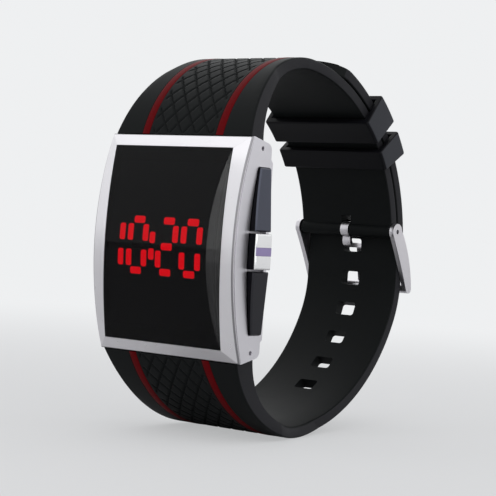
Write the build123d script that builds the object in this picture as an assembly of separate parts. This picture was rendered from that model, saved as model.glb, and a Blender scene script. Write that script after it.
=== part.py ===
from build123d import *
from math import asin, atan2, copysign, cos, degrees, pi, radians, sin, sqrt, tan
import os

# LED wristwatch with a curved steel case, three side pushers and a buckled silicone strap.
# Lengths are in millimetres. X runs from 9 to 3 o'clock, Z up to 12 o'clock and Y from the
# dial to the buckle. Pieces are drawn with y = 0 in the plane of the case's four front corners,
# and are moved to the wrist's own axis when they are written.

# Case outline
case_width = 38.0
case_height = 46.0
case_bow = 3.9             # how far the front stands out at mid-height
case_depth = 7.0           # corner plane to the flat back
lug_depth = 6.4
lug_round = 1.6
end_slope = 13.0           # degrees that the end faces lean in towards the back
wrist_to_front = 35.0      # wrist axis to the corner plane

# Bezel
side_bar = 3.16            # bezel's width along the long sides
end_bar = 2.57             # bezel's width at 12 and 6 o'clock
bezel_rise = 2.35          # inner edge ahead of the corner plane at the window's corners
bezel_inner_bow = 1.95
bezel_band = 0.5           # height of the bezel's own side wall
bezel_seam = 0.06
bezel_seat = 0.7           # how far the skirt reaches behind the corner plane
skirt_wall = 1.2

# Lens
lens_play = 0.08
lens_bow = 4.0
lens_wall = 1.7
lens_rim = 3.2             # solid ends of the lens, over the gasket
lens_facet = 45.0          # degrees
gasket_height = 0.6

# Display
mask_gap = 0.1
mask_wall = 0.8
digit_width = 4.15         # between the centres of upright bars
digit_height = 10.5        # between the centres of the top and bottom bars
digit_slant = 2.6          # degrees
bar_width = 1.45
bar_gap = 0.2
bar_point = 0.3            # chamfer at the ends of a bar
digit_drop = 0.35          # display centre below mid-height
digit_pitch = 6.4
digits_left = -12.4        # centre of the first digit
colon_room = 1.65          # added between the digits beside the colon
colon_reach = 1.7
colon_height = 2.3
bar_proud = 0.05
board_wall = 0.8
board_play = 0.2

# Walls of the case
side_wall = 4.4            # at 9 o'clock and behind the button recess
end_wall = 3.0             # between the module and the strap's slot
cavity_corner = 3.0
cheek_wall = 3.0           # lug beside the strap's tongue
strap_slot_front = 1.3     # y of the slot's front wall

# Button recess and pushers
recess_top_inset = 6.0     # from the case's end at 12 o'clock
recess_bottom_inset = 5.8
recess_front_mid = 0.45
recess_front_end = 2.3
recess_back = 6.1
recess_depth = 1.5
button_play = 0.15
button_bevel = 0.3
crown_top = 3.5
crown_bottom = 3.75
crown_gap = 0.45
end_protrusion = 0.7       # buttons stand out least at the ends of the row
inner_protrusion = 1.6
crown_protrusion = 1.95
crown_band = 1.7
crown_band_depth = 0.12
button_travel = 0.8
stem_r = 0.8
stem_play = 0.05
stem_end = 1.6             # stem past the inner wall
ring_wall = 0.45
ring_width = 0.7
clip_width = 0.3
clip_wall = 0.7
return_spring_wall = 0.35
return_spring_play = 0.12
spring_pocket = 1.5
contact_gap = 0.15

# Module behind the display
module_front = 1.0
module_wall = 0.7
module_play = 0.15
pcb_wall = 0.8
pcb_front = 2.0
chip_size = 6.0
chip_inset = 1.2
chip_wall = 1.2
quartz_r = 1.0
quartz_length = 6.0
cell_r = 6.3
cell_wall = 2.5
clip_strip = 5.0
clip_sheet = 0.25
contact_width = 3.0
switch_wall = 0.3

# Case back
back_wall = 1.2
back_margin = 2.2          # case body left showing round the back plate
back_corner = 2.0
back_gasket_r = 0.4
gasket_land = 0.3          # between the module's opening and the gasket's groove
screw_r = 0.5
screw_head_r = 1.0
screw_head = 0.5
screw_length = 3.2
screw_inset = 1.55
screw_play = 0.03

# Strap
strap_wall = 2.5
layer_gap = 0.3
top_centre_y = 24.0        # centre of the arc that the strap follows over the top
top_centre_z = 0.8
top_inner_r = 38.5
upper_root_front = -1.13   # y of the outer face where it leaves the case's end
upper_root_back = 4.69
upper_front_turn = 84.8    # degrees, where the root's outer arc runs into the top arc
upper_back_turn = 85.2     # degrees
under_centre_z = 1.9
under_r = 42.1
lower_root_front = 0.02
lower_root_back = 5.98
lower_front_turn = -84.8   # degrees, where the root's outer arc runs into the lower arc
lower_back_turn = -88.6    # degrees
heel_r = 24.0
heel_turn = -25.03         # degrees, where the lower arc runs into the heel
tail_end_turn = 74.0       # degrees, where the free end lies on the top arc
strap_root_inset = 0.6     # strap's edges inside the case's sides at its root
strap_root_half = case_width / 2 - strap_root_inset
strap_back_half = 12.8
rise_shares = {"upper": [(0.55, 1.0), (0.79, 0.62), (0.885, 0.39), (0.92, 0.25), (1.0, 0.09)],
               "lower": [(0.57, 0.98), (0.7, 0.8), (0.8, 0.69), (0.9, 0.61), (1.0, 0.55)]}
depth_shares = {"upper": [(0.0, 1.0), (0.27, 0.66), (0.43, 0.42), (0.66, 0.1), (1.0, 0.0)],
                "lower": [(0.0, 1.0), (0.33, 0.72), (0.5, 0.6), (0.7, 0.3), (1.0, 0.0)]}
taper_end = 38.0           # y from which the strap keeps one width
tail_round = 6.0
strap_seam = 0.1
stripe_width = 2.0
stripe_centre = 10.0
stripe_depth = 0.5
stripe_play = 0.03
stripe_end_turn = 70.0     # degrees
stripe_under_turn = -64.0  # degrees
slot_width = 5.0
slot_length = 3.2
slot_pitch = 7.9
slot_first_z = 2.0         # height of the hole that the tongue is in
slots_down = 5
slots_up = 3

# Strap tongues and their spring bars
bar_y = 3.4
bar_inset = 2.25           # spring bar below the case's end
bar_r = 0.75
bar_tip_r = 0.42
bar_tip_inset = 0.9        # tips end inside the lugs' holes
bar_play = 0.03
tongue_r = 1.9
tongue_play = 0.2

# Buckle and keepers
pin_turn = 7.2             # degrees on the top arc
pin_inset = 0.55           # from the middle of the strap's wall towards the wrist
pin_eye_r = 1.6
pin_r = 0.75
pin_tip_r = 0.5
pin_tip_inset = 0.45
pin_boss_r = 1.9
buckle_arm = 1.1
buckle_play = 0.2
buckle_bar_r = 1.1
buckle_reach = 14.6        # pin to outer bar
prong_width = 2.2
prong_wall = 1.1
prong_notch = 3.2
keeper_wall = 1.5
keeper_play = 0.3
keeper_side_play = 0.35
fixed_keeper_turns = (30.8, 38.2)     # degrees on the top arc
sliding_keeper_turns = (41.8, 51.6)   # degrees on the top arc

overrun = 5.0

# Derived places
half_w = case_width / 2
half_h = case_height / 2
window_x = half_w - side_bar
window_z = half_h - end_bar
skirt_x = window_x + skirt_wall
skirt_z = window_z + skirt_wall
recess_top = half_h - recess_top_inset
recess_bottom = half_h - recess_bottom_inset
cavity_x = half_w - side_wall
bar_z = half_h - bar_inset
slot_floor = bar_z - tongue_r - tongue_play
cavity_z = slot_floor - end_wall
back_half = slot_floor - case_depth + lug_depth
lens_seat = bezel_seat + bezel_seam - gasket_height
hollow_z = window_z - lens_play - lens_rim
strap_outer_r = top_inner_r + strap_wall
tail_inner_r = strap_outer_r + layer_gap
tail_outer_r = tail_inner_r + strap_wall
keeper_half = strap_back_half + keeper_side_play
heel_y = top_centre_y + tail_outer_r - heel_r
under_centre_y = heel_y - (under_r - heel_r) * cos(radians(heel_turn))


def polar(centre, radius, turn):
    """Point at a radius and an angle in degrees about a centre."""
    return (centre[0] + radius * cos(radians(turn)), centre[1] + radius * sin(radians(turn)))


top_centre = (top_centre_y, top_centre_z)
under_centre = (under_centre_y, under_centre_z)
pin_place = polar(top_centre, (top_inner_r + strap_outer_r) / 2 - pin_inset, pin_turn)


def side_face(*edges):
    """Closed outline drawn in the watch's side view, as (y, z)."""
    return Plane.YZ * make_face(edges)


def across(face, half_width):
    """Solid that runs across the watch, from -half_width to half_width."""
    return extrude(face, half_width, both=True)


def span(x0, x1, y0, y1, z0, z1):
    """Rectangular block between three pairs of coordinates."""
    size = (x1 - x0, y1 - y0, z1 - z0)
    return Pos((x0 + x1) / 2, (y0 + y1) / 2, (z0 + z1) / 2) * Box(*size)


def rounded_span(x0, x1, y0, y1, z0, z1, corner):
    """Rectangular block whose four edges along Y are rounded."""
    block = span(x0, x1, y0, y1, z0, z1)
    return fillet(block.edges().filter_by(Axis.Y), corner)


def rod(x0, x1, radius, y, z):
    """Round bar along X."""
    return Pos((x0 + x1) / 2, y, z) * Rot(0, 90, 0) * Cylinder(radius, x1 - x0)


def back_rod(y0, y1, radius, x, z):
    """Round bar along Y."""
    return Pos(x, (y0 + y1) / 2, z) * Rot(90, 0, 0) * Cylinder(radius, y1 - y0)


def bow_line(y_end, bow, half):
    """Arc that bows forward, drawn from the bottom to the top."""
    return ThreePointArc((y_end, -half), (y_end - bow, 0), (y_end, half))


def bowed_block(y_end, bow, half, y_back, half_width):
    """Block with a bowed front and a flat back."""
    back = Polyline((y_end, half), (y_back, half), (y_back, -half), (y_end, -half))
    return across(side_face(bow_line(y_end, bow, half), back), half_width)


# Case


def case_profile():
    """Side view of the case: bowed front, sloping ends, rounded lugs and a flat back."""
    front = bezel_band + bezel_seam
    lean = tan(radians(end_slope))
    lug_z = half_h - (lug_depth - front) * lean
    outline = [(front, half_h), (lug_depth, lug_z), (lug_depth, slot_floor), (case_depth, back_half)]
    lower = [(y, -z) for y, z in reversed(outline)]
    face = side_face(bow_line(front, case_bow, half_h), Polyline(*outline, *lower))
    deepest = [v for v in face.vertices() if abs(v.Y - lug_depth) < bezel_seam]
    corners = [v for v in deepest if abs(v.Z) > lug_z - bezel_seam]
    return fillet(corners, lug_round)


def recess_face(play, top, bottom):
    """Outline of the button recess or of a button in it, less a play all round."""
    reach = (recess_top + recess_bottom) / 2
    bow = recess_front_end - recess_front_mid
    radius = (reach ** 2 + bow ** 2) / (2 * bow)
    centre_y = recess_front_mid + radius
    disc = Pos(centre_y, (recess_top - recess_bottom) / 2) * Circle(radius - play)
    back = recess_back - play
    window = Rectangle(back + overrun, top - bottom)
    return Plane.YZ * (disc & Pos((back - overrun) / 2, (top + bottom) / 2) * window)


def stem_places():
    """Height of each pusher's stem."""
    upper = (recess_top + crown_top) / 2
    lower = -(recess_bottom + crown_bottom) / 2
    return {"upper": upper, "crown": (crown_top - crown_bottom) / 2, "lower": lower}


stem_y = (recess_front_end + recess_back) / 2


def case_body():
    """Case middle with its lugs, strap slots, module cavity, button recess and holes."""
    body = across(case_profile(), half_w)
    body -= rounded_span(-cavity_x, cavity_x, -case_bow - overrun, case_depth + overrun, -cavity_z, cavity_z,
                         cavity_corner)
    body -= span(-skirt_x - bezel_seam, skirt_x + bezel_seam, -case_bow - overrun, bezel_seat + bezel_seam,
                 -skirt_z - bezel_seam, skirt_z + bezel_seam)
    slot_x = half_w - cheek_wall
    for end in (1, -1):
        z0, z1 = sorted((end * slot_floor, end * (half_h + overrun)))
        body -= span(-slot_x, slot_x, strap_slot_front, case_depth + overrun, z0, z1)
        body -= rod(-half_w - overrun, half_w + overrun, bar_tip_r + bar_play, bar_y, end * bar_z)
    recess = recess_face(0, recess_top, -recess_bottom)
    body -= Pos(half_w - recess_depth, 0, 0) * extrude(recess, recess_depth + overrun, dir=(1, 0, 0))
    for z in stem_places().values():
        body -= rod(cavity_x - overrun, half_w, stem_r + stem_play, stem_y, z)
        floor = half_w - recess_depth
        body -= rod(floor - spring_pocket, floor + overrun, spring_r() + return_spring_play, stem_y, z)
    for x, z in screw_places():
        depth = screw_length - back_wall + screw_play
        body -= back_rod(case_depth - depth, case_depth + overrun, screw_r + screw_play, x, z)
    body -= gasket_track(gasket_play())
    return body


def spring_r():
    """Outer radius of a pusher's return spring."""
    return stem_r + return_spring_play + return_spring_wall


def gasket_play():
    """Room round the back gasket in its groove."""
    return bezel_seam


def bezel():
    """Front frame: four mitred bars ruled between the outer and the inner edge, and a skirt."""
    inner_end = -bezel_rise
    outer = side_face(bow_line(0, case_bow, half_h),
                      Polyline((0, half_h), (bezel_seat, half_h), (bezel_seat, -half_h), (0, -half_h)))
    inner = side_face(bow_line(inner_end, bezel_inner_bow, window_z),
                      Polyline((inner_end, window_z), (bezel_seat, window_z), (bezel_seat, -window_z),
                               (inner_end, -window_z)))
    right = loft([Pos(window_x, 0, 0) * inner, Pos(half_w, 0, 0) * outer], ruled=True)
    low = Plane((0, 0, window_z), x_dir=(1, 0, 0), z_dir=(0, 0, 1))
    high = Plane((0, 0, half_h), x_dir=(1, 0, 0), z_dir=(0, 0, 1))
    near = low * Pos(0, (bezel_seat + inner_end) / 2) * Rectangle(2 * window_x, bezel_seat - inner_end)
    far = high * Pos(0, bezel_seat / 2) * Rectangle(case_width, bezel_seat)
    top = loft([near, far], ruled=True)
    frame = right + mirror(right, Plane.YZ) + top + mirror(top, Plane.XY)
    behind = Polyline((bezel_band, half_h), (bezel_seat + overrun, half_h),
                      (bezel_seat + overrun, -half_h), (bezel_band, -half_h))
    band = across(side_face(bow_line(bezel_band, case_bow, half_h), behind), half_w + overrun)
    band = band + span(-half_w - overrun, half_w + overrun, bezel_band, bezel_seat + overrun,
                       -half_h - overrun, half_h + overrun)
    rim = band - span(-skirt_x, skirt_x, -case_bow - overrun, bezel_seat + 2 * overrun, -skirt_z, skirt_z)
    return frame - rim


# Lens and display


def lens_block(play):
    """Bowed block that fits the bezel's window."""
    return bowed_block(-bezel_rise, lens_bow, window_z - play, lens_seat, window_x - play)


def lens():
    """Domed lens: a bowed plate with a rim, and a facet along each long side."""
    plate = lens_block(lens_play) - lens_hollow()
    inner_r = (window_z ** 2 + bezel_inner_bow ** 2) / (2 * bezel_inner_bow)
    axis_y = -bezel_rise - bezel_inner_bow + inner_r
    reach = lens_bow + overrun
    slope = tan(radians(lens_facet))
    foot = -bezel_rise - bezel_inner_bow
    high = foot - reach * slope
    wedge = Plane.XY * make_face(Polyline((window_x, foot), (window_x - reach, high),
                                          (window_x + overrun, high), (window_x + overrun, foot), close=True))
    turn = degrees(asin(half_h / inner_r))
    axis = Axis((0, axis_y, 0), (1, 0, 0))
    cutter = revolve(wedge.rotate(axis, -turn), axis, 2 * turn)
    return plate - cutter - mirror(cutter, Plane.YZ)


def lens_hollow():
    """Space behind the lens plate, inside its rim."""
    sag = lens_sag(hollow_z)
    return bowed_block(-bezel_rise - lens_bow + lens_wall + sag, sag, hollow_z, bezel_seat + overrun,
                       window_x - lens_play - lens_wall)


def lens_sag(z):
    """How far the lens's bow falls back between mid-height and a height."""
    return lens_bow * (z / window_z) ** 2


def lens_gasket():
    """Flat ring between the lens's rim and the ledge of the case."""
    back = lens_seat + gasket_height
    outer = span(-window_x + lens_play, window_x - lens_play, lens_seat, back,
                 -window_z + lens_play, window_z - lens_play)
    return outer - span(-cavity_x, cavity_x, lens_seat - overrun, back + overrun, -hollow_z, hollow_z)


def display_shell(front, wall, half_x, half_z):
    """Bowed sheet that follows the back of the lens plate."""
    sag = lens_sag(half_z)
    y_end = -bezel_rise - lens_bow + lens_wall + sag + front
    edge = [(y_end, half_z), (y_end + wall, half_z)]
    face = side_face(bow_line(y_end, sag, half_z), Line(*edge),
                     ThreePointArc((y_end + wall, half_z), (y_end + wall - sag, 0), (y_end + wall, -half_z)),
                     Line((y_end + wall, -half_z), (y_end, -half_z)))
    return across(face, half_x)


display_x = window_x - lens_play - lens_wall - lens_play
display_z = hollow_z - lens_play
minutes_left = digits_left + 2 * digit_pitch + colon_room
digit_places = {"1": digits_left, "0": digits_left + digit_pitch,
                "2": minutes_left, "last 0": minutes_left + digit_pitch}
colon_x = digits_left + (3 * digit_pitch + colon_room) / 2
bars_of = {"1": "bc", "0": "abcdef", "2": "abged", "last 0": "abcdef"}
bars_made = {"1": "bc", "0": "abcdefg", "2": "abcdefg", "last 0": "abcdefg"}


def bar_plan(bar, play):
    """Outline of one display bar in a digit's own frame, as seen from the front."""
    half_digit = digit_width / 2
    half_tall = digit_height / 2
    upright = half_tall - bar_width - 2 * bar_gap
    level = digit_width - bar_width - 2 * bar_gap + bar_point * 2
    places = {"a": (0, half_tall, 0), "g": (0, 0, 0), "d": (0, -half_tall, 0),
              "b": (half_digit, half_tall / 2, 1), "c": (half_digit, -half_tall / 2, 1),
              "f": (-half_digit, half_tall / 2, 1), "e": (-half_digit, -half_tall / 2, 1)}
    x, z, stands = places[bar]
    wide, tall = (bar_width, upright) if stands else (level, bar_width)
    shape = Rectangle(wide + 2 * play, tall + 2 * play)
    shape = chamfer(shape.vertices(), bar_point)
    return Pos(x + z * tan(radians(digit_slant)), z) * shape


def display_bars(lit, play, shell):
    """Solids of the lit or the unlit bars, cut from a bowed sheet."""
    solids = []
    for name, place in digit_places.items():
        wanted = [bar for bar in bars_made[name] if (bar in bars_of[name]) == lit]
        for bar in wanted:
            plan = Pos(place, -digit_drop) * bar_plan(bar, play)
            solids.append(front_prism(plan) & shell)
    if lit:
        for z in (colon_reach, -colon_reach):
            lean = z * tan(radians(digit_slant))
            dot = Rectangle(bar_width + 2 * play, colon_height + 2 * play)
            plan = Pos(colon_x + lean, z - digit_drop) * chamfer(dot.vertices(), bar_point)
            solids.append(front_prism(plan) & shell)
    return solids


def front_prism(plan):
    """Prism along Y over a plan drawn as seen from the front."""
    front = Plane((0, 0, 0), x_dir=(1, 0, 0), z_dir=(0, -1, 0))
    return extrude(front * plan, case_bow + lens_bow + overrun, both=True)


def display_mask():
    """Black plate behind the lens, with a window for each bar."""
    plate = display_shell(mask_gap + bar_proud, mask_wall, display_x, display_z)
    through = display_shell(mask_gap - mask_wall, 3 * mask_wall, display_x, display_z)
    for solid in display_bars(True, bezel_seam, through) + display_bars(False, bezel_seam, through):
        plate -= solid
    return plate


def led_bars(lit):
    """Light bars that stand in the mask's windows."""
    proud = 0 if lit else bar_proud
    shell = display_shell(mask_gap + proud, mask_wall + bar_proud - proud, display_x, display_z)
    return Compound(children=display_bars(lit, 0, shell))


def led_board():
    """Bowed board that carries the light bars."""
    front = mask_gap + bar_proud + mask_wall + bezel_seam
    return display_shell(front, board_wall, display_x - board_play, cavity_z - board_play)


# Module and case back


def module_frame():
    """Plastic tray that holds the circuit board and the cell."""
    left, right, half = tray_span()
    wall = module_wall
    corner = cavity_corner - module_play
    outer = rounded_span(left, right, module_front, case_depth - clip_sheet, -half, half, corner)
    front_room = rounded_span(left + wall, right - wall, module_front - overrun, pcb_front - wall,
                              -half + wall, half - wall, corner - wall)
    back_room = rounded_span(left + wall, right - wall, pcb_front, case_depth + overrun,
                             -half + wall, half - wall, corner - wall)
    return outer - front_room - back_room


def tray_span():
    """Left, right and half-height of the module's tray, with room for the stems at its right."""
    left = -cavity_x + module_play
    right = cavity_x - module_play - stem_end - module_wall
    return left, right, cavity_z - module_play


def board_span():
    """Left, right and half-height of the circuit board."""
    left, right, half = tray_span()
    inset = module_wall + board_play
    return left + inset, right - inset, half - inset


def circuit_board():
    """Main board behind the tray's floor."""
    left, right, half = board_span()
    corner = cavity_corner - module_play - module_wall - board_play
    return rounded_span(left, right, pcb_front, pcb_front + pcb_wall, -half, half, corner)


def cell_place():
    """Centre of the button cell."""
    left, right, half = board_span()
    return (left + right) / 2, -half + cell_r + board_play


def chip():
    """Controller chip on the board."""
    left, right, half = board_span()
    x = left + chip_size / 2 + chip_inset
    z = half - chip_size / 2 - chip_inset
    y = pcb_front + pcb_wall
    return span(x - chip_size / 2, x + chip_size / 2, y, y + chip_wall, z - chip_size / 2, z + chip_size / 2)


def quartz_can():
    """Quartz crystal can that lies on the board."""
    left, right, half = board_span()
    x0 = right - quartz_length - chip_inset
    y = pcb_front + pcb_wall + quartz_r
    return rod(x0, x0 + quartz_length, quartz_r, y, half - quartz_r - chip_inset)


def cell():
    """Button cell."""
    x, z = cell_place()
    y0 = pcb_front + pcb_wall + clip_sheet
    return back_rod(y0, y0 + cell_wall, cell_r, x, z)


def cell_contact():
    """Sheet contact under the cell."""
    x, z = cell_place()
    y0 = pcb_front + pcb_wall
    return span(x - cell_r, x + cell_r, y0, y0 + clip_sheet, z - contact_width / 2, z + contact_width / 2)


def cell_clip():
    """Sheet strap over the cell."""
    x, z = cell_place()
    left, right, half = board_span()
    y0 = pcb_front + pcb_wall + clip_sheet + cell_wall
    strip = span(left, right, y0, y0 + clip_sheet, z - clip_strip / 2, z + clip_strip / 2)
    for x0, x1 in ((left, left + clip_sheet), (right - clip_sheet, right)):
        strip += span(x0, x1, pcb_front + pcb_wall, y0 + clip_sheet, z - clip_strip / 2, z + clip_strip / 2)
    return strip


def switch_contacts():
    """Spring leaves at the tray's edge that the stems press."""
    x = tray_span()[1]
    leaves = []
    for z in stem_places().values():
        leaves.append(span(x, x + switch_wall, stem_y - contact_width / 2, stem_y + contact_width / 2,
                           z - contact_width / 2, z + contact_width / 2))
    return Compound(children=leaves)


def back_plan():
    """Rounded outline of the back plate."""
    plan = Rectangle(case_width - 2 * back_margin, 2 * back_half)
    return fillet(plan.vertices(), back_corner)


def back_plane(y):
    """Plane across the watch at a depth."""
    return Plane((0, y, 0), x_dir=(1, 0, 0), z_dir=(0, 1, 0))


def screw_places():
    """Centres of the four back screws."""
    x = half_w - back_margin - screw_inset
    z = back_half - screw_inset
    return [(i * x, j * z) for i in (1, -1) for j in (1, -1)]


def case_back():
    """Back plate with countersunk seats for its screws."""
    plate = back_plane(case_depth) * extrude(back_plan(), back_wall)
    rim = plate.faces().sort_by(Axis.Y)[-1].edges()
    plate = chamfer(rim, back_wall / 4)
    for x, z in screw_places():
        plate -= back_rod(case_depth - overrun, case_depth + overrun, screw_r + screw_play, x, z)
        plate -= back_rod(case_depth + back_wall - screw_head, case_depth + overrun,
                          screw_head_r + screw_play, x, z)
    return plate


def back_screws():
    """Four slotted screws, as one group."""
    screws = []
    for x, z in screw_places():
        head = case_depth + back_wall
        screw = back_rod(head - screw_head, head, screw_head_r, x, z)
        screw += back_rod(head - screw_length, head - screw_head, screw_r, x, z)
        screw -= span(x - screw_head_r, x + screw_head_r, head - screw_head / 2, head + overrun,
                      z - screw_head / 4, z + screw_head / 4)
        screws.append(screw)
    return Compound(children=screws)


def gasket_track(play):
    """Ring round the module's opening, inside the back screws, with a play round its section."""
    middle = gasket_land + back_gasket_r
    outlines = []
    for step in (back_gasket_r + play, -back_gasket_r - play):
        grow = middle + step
        plan = Rectangle(2 * (cavity_x + grow), 2 * (cavity_z + grow))
        outlines.append(fillet(plan.vertices(), cavity_corner + grow))
    depth = back_gasket_r + play
    return back_plane(case_depth - depth) * extrude(outlines[0] - outlines[1], depth)


# Pushers


def button_cap(top, bottom, top_reach, bottom_reach):
    """Cap that fills its stretch of the recess, with a face that slopes along the row."""
    inner_x = half_w - recess_depth + button_travel + button_play
    block = extrude(recess_face(button_play, top, bottom), half_w + overrun, dir=(1, 0, 0))
    outline = Plane.XZ * make_face(Polyline((inner_x, bottom), (half_w + bottom_reach, bottom),
                                            (half_w + top_reach, top), (inner_x, top), close=True))
    cap = block & extrude(outline, case_width, both=True)
    return chamfer(cap.faces().sort_by(Axis.X)[-1].edges(), button_bevel)


def stem(z):
    """Stem with a groove for its clip and one for its seal."""
    tip = cavity_x - stem_end + switch_wall + contact_gap
    shaft = rod(tip, half_w, stem_r, stem_y, z)
    for x0, width, wall in ((clip_x(), clip_width, clip_wall / 2), (seal_x(), ring_width, ring_wall / 2)):
        shaft -= tube(x0, x0 + width, stem_r + overrun, stem_r - wall, z)
    return shaft


def tube(x0, x1, outer, inner, z):
    """Round sleeve on a pusher's axis."""
    return rod(x0, x1, outer, stem_y, z) - rod(x0 - overrun, x1 + overrun, inner, stem_y, z)


def clip_x():
    """Where the clip's groove starts, just inside the wall."""
    return cavity_x - clip_width - contact_gap


def seal_x():
    """Where the seal's groove starts in the wall's bore."""
    return cavity_x + ring_width / 2


def seal(z):
    """Seal ring in the stem's groove."""
    return tube(seal_x(), seal_x() + ring_width, stem_r, stem_r - ring_wall / 2, z)


def stem_clip(z):
    """Clip that stops the stem at the wall."""
    x0 = clip_x()
    inner = stem_r - clip_wall / 2
    ring = tube(x0, x0 + clip_width, stem_r + clip_wall / 2, inner, z)
    return ring - span(x0, x0 + clip_width, stem_y, stem_y + overrun, z - inner, z + inner)


def return_spring(z):
    """Return spring round the stem, drawn at its pressed length."""
    x1 = half_w - recess_depth + button_travel + button_play
    x0 = half_w - recess_depth - spring_pocket + button_travel + button_play
    return tube(x0, x1, spring_r(), spring_r() - return_spring_wall, z)


def pushers():
    """Cap with stem, seal, clip and spring of each of the three pushers."""
    low, high = -recess_bottom + button_play, recess_top - button_play
    spans = {"upper": (high, crown_top + crown_gap, end_protrusion, inner_protrusion),
             "lower": (-crown_bottom - crown_gap, low, inner_protrusion, end_protrusion),
             "crown": (crown_top, -crown_bottom, crown_protrusion, crown_protrusion)}
    pieces = {}
    for name, (top, bottom, top_reach, bottom_reach) in spans.items():
        z = stem_places()[name]
        cap = button_cap(top, bottom, top_reach, bottom_reach) + stem(z)
        if name == "crown":
            face = half_w + crown_protrusion
            cap -= span(face - crown_band_depth, face + overrun, -overrun, recess_back + overrun,
                        z - crown_band / 2, z + crown_band / 2)
        pieces[name + "_button"] = cap
        pieces[name + "_button_seal"] = seal(z)
        pieces[name + "_button_clip"] = stem_clip(z)
        pieces[name + "_button_spring"] = return_spring(z)
    return pieces


# Strap


def root_arc(centre, radius, turn, root_y, side):
    """Arc that leaves the case's end at a depth and runs smoothly into a larger arc at an angle."""
    root_z = copysign(half_h + strap_seam, side)
    meet_y, meet_z = polar(centre, radius, turn)
    step_y, step_z = meet_y - root_y, meet_z - root_z
    rise = step_y * cos(radians(turn)) + step_z * sin(radians(turn))
    root_r = (step_y ** 2 + step_z ** 2) / (2 * rise)
    root_c = polar(centre, radius - root_r, turn)
    start = copysign(pi, side) - asin((copysign(slot_floor, side) - root_c[1]) / root_r)
    return root_c, root_r, degrees(start), turn


def upper_paths():
    """Outer and inner arcs of the 12 o'clock half, as (centre, radius, from, to)."""
    paths = []
    sides = ((strap_outer_r, upper_front_turn, upper_root_front),
             (top_inner_r, upper_back_turn, upper_root_back))
    for radius, turn, root_y in sides:
        paths.append([root_arc(top_centre, radius, turn, root_y, 1), (top_centre, radius, turn, pin_turn)])
    return paths


def lower_paths():
    """Outer and inner arcs of the 6 o'clock half; the heel arc ends in a straight back."""
    paths = []
    heel_c = polar(under_centre, under_r - heel_r, heel_turn)
    sides = ((0, lower_front_turn, lower_root_front), (strap_wall, lower_back_turn, lower_root_back))
    for inset, turn, root_y in sides:
        radius = under_r - inset
        paths.append([root_arc(under_centre, radius, turn, root_y, -1),
                      (under_centre, radius, turn, heel_turn), (heel_c, heel_r - inset, heel_turn, 0),
                      (top_centre, tail_outer_r - inset, 0, tail_end_turn)])
    return paths


def path_edges(arcs):
    """Edges of a chain of arcs, joined by a straight line where they don't meet."""
    edges = []
    for centre, radius, start, stop in arcs:
        arc = CenterArc(centre, radius, start, stop - start)
        if edges and (edges[-1] @ 1 - arc @ 0).length > bezel_seam / 100:
            edges.append(Line(edges[-1] @ 1, arc @ 0))
        edges.append(arc)
    return edges


def ribbon(outer, inner):
    """Side-view face between an outer and an inner chain of arcs."""
    out = path_edges(outer)
    back = path_edges(inner)
    ends = [Line(out[-1] @ 1, back[-1] @ 1), Line(back[0] @ 0, out[0] @ 0)]
    return side_face(*out, *back, *ends)


def taper_outline(shares, reach, before, after):
    """Symmetric outline whose half-width follows a table of shares, with straight runs at both ends."""
    spread = strap_root_half - strap_back_half
    curve = Spline(*[(strap_back_half + spread * wide, reach * along) for along, wide in shares])
    left = mirror(curve, Plane.YZ)
    start, stop = (curve @ 0).X, (curve @ 1).X
    tail = Polyline((stop, reach), (stop, after), (-stop, after), (-stop, reach))
    root = Polyline(left @ 0, (-start, before), (start, before), curve @ 0)
    return make_face([curve, tail, left, root])


def taper_block(half):
    """What the strap's taper leaves of one half, by its front view and its top view."""
    reach = 2 * case_height
    height = top_centre_z + strap_outer_r if half == "upper" else under_r - under_centre_z
    front = extrude(Plane.XZ * taper_outline(rise_shares[half], height, -reach, reach), reach, both=True)
    if half == "lower":
        front = mirror(front, Plane.XY)
    return front & extrude(taper_outline(depth_shares[half], taper_end, -overrun, reach), reach, both=True)


def root_cut(half):
    """Everything on the case's side of the strap's root, which follows the case's end face."""
    front = bezel_band + bezel_seam
    z = half_h + strap_seam
    far_z = z - (case_height - front) * tan(radians(end_slope))
    face = side_face(Polyline((-overrun, z), (front, z), (case_height, far_z), (case_height, -overrun),
                              (-overrun, -overrun), close=True))
    near = span(-case_width, case_width, -overrun, lug_depth + bar_r, 0, case_height)
    block = across(face, case_width) & near
    return block if half == "upper" else mirror(block, Plane.XY)


def tongue(side):
    """Narrow root that goes between the lugs and round the spring bar."""
    half = half_w - cheek_wall - tongue_play
    front = strap_slot_front + tongue_play
    top = half_h + tongue_r
    block = span(-half, half, front, bar_y + tongue_r, bar_z, top)
    block += rod(-half, half, tongue_r, bar_y, bar_z)
    block -= rod(-half - overrun, half + overrun, bar_r + bar_play, bar_y, bar_z)
    return block if side == "upper" else mirror(block, Plane.XY)


def stripe_layer(arcs, stop, play):
    """Thin layer under a half's outer face, from the case to where the stripes end."""
    kept = []
    for centre, radius, start, finish in arcs:
        sign = 1 if finish > start else -1
        if sign * (finish - stop) > 0:
            finish = stop
        if sign * (finish - start) > 0:
            kept.append((centre, radius, start, finish))
        if finish == stop:
            break
    inner = [(centre, radius - stripe_depth - play, start, finish) for centre, radius, start, finish in kept]
    outer = [(centre, radius + play, start, finish) for centre, radius, start, finish in kept]
    return ribbon(outer, inner)


def stripe_pair(side, play):
    """Two inlays of one half, flush with its outer face, or their grooves with a play all round."""
    arcs = upper_paths()[0] if side == "upper" else lower_paths()[0]
    stop = stripe_end_turn if side == "upper" else stripe_under_turn
    sheet = across(stripe_layer(arcs, stop, play), strap_root_half) - root_cut(side)
    bands = []
    reach = 2 * case_height
    for x in (stripe_centre, -stripe_centre):
        half = stripe_width / 2 + play
        bands.append(sheet & span(x - half, x + half, -overrun, reach, -reach, reach))
    return bands


def solids_of(shapes):
    """All solids of a list of shapes, as one group."""
    return Compound(children=[solid for shape in shapes for solid in shape.solids()])


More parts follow.
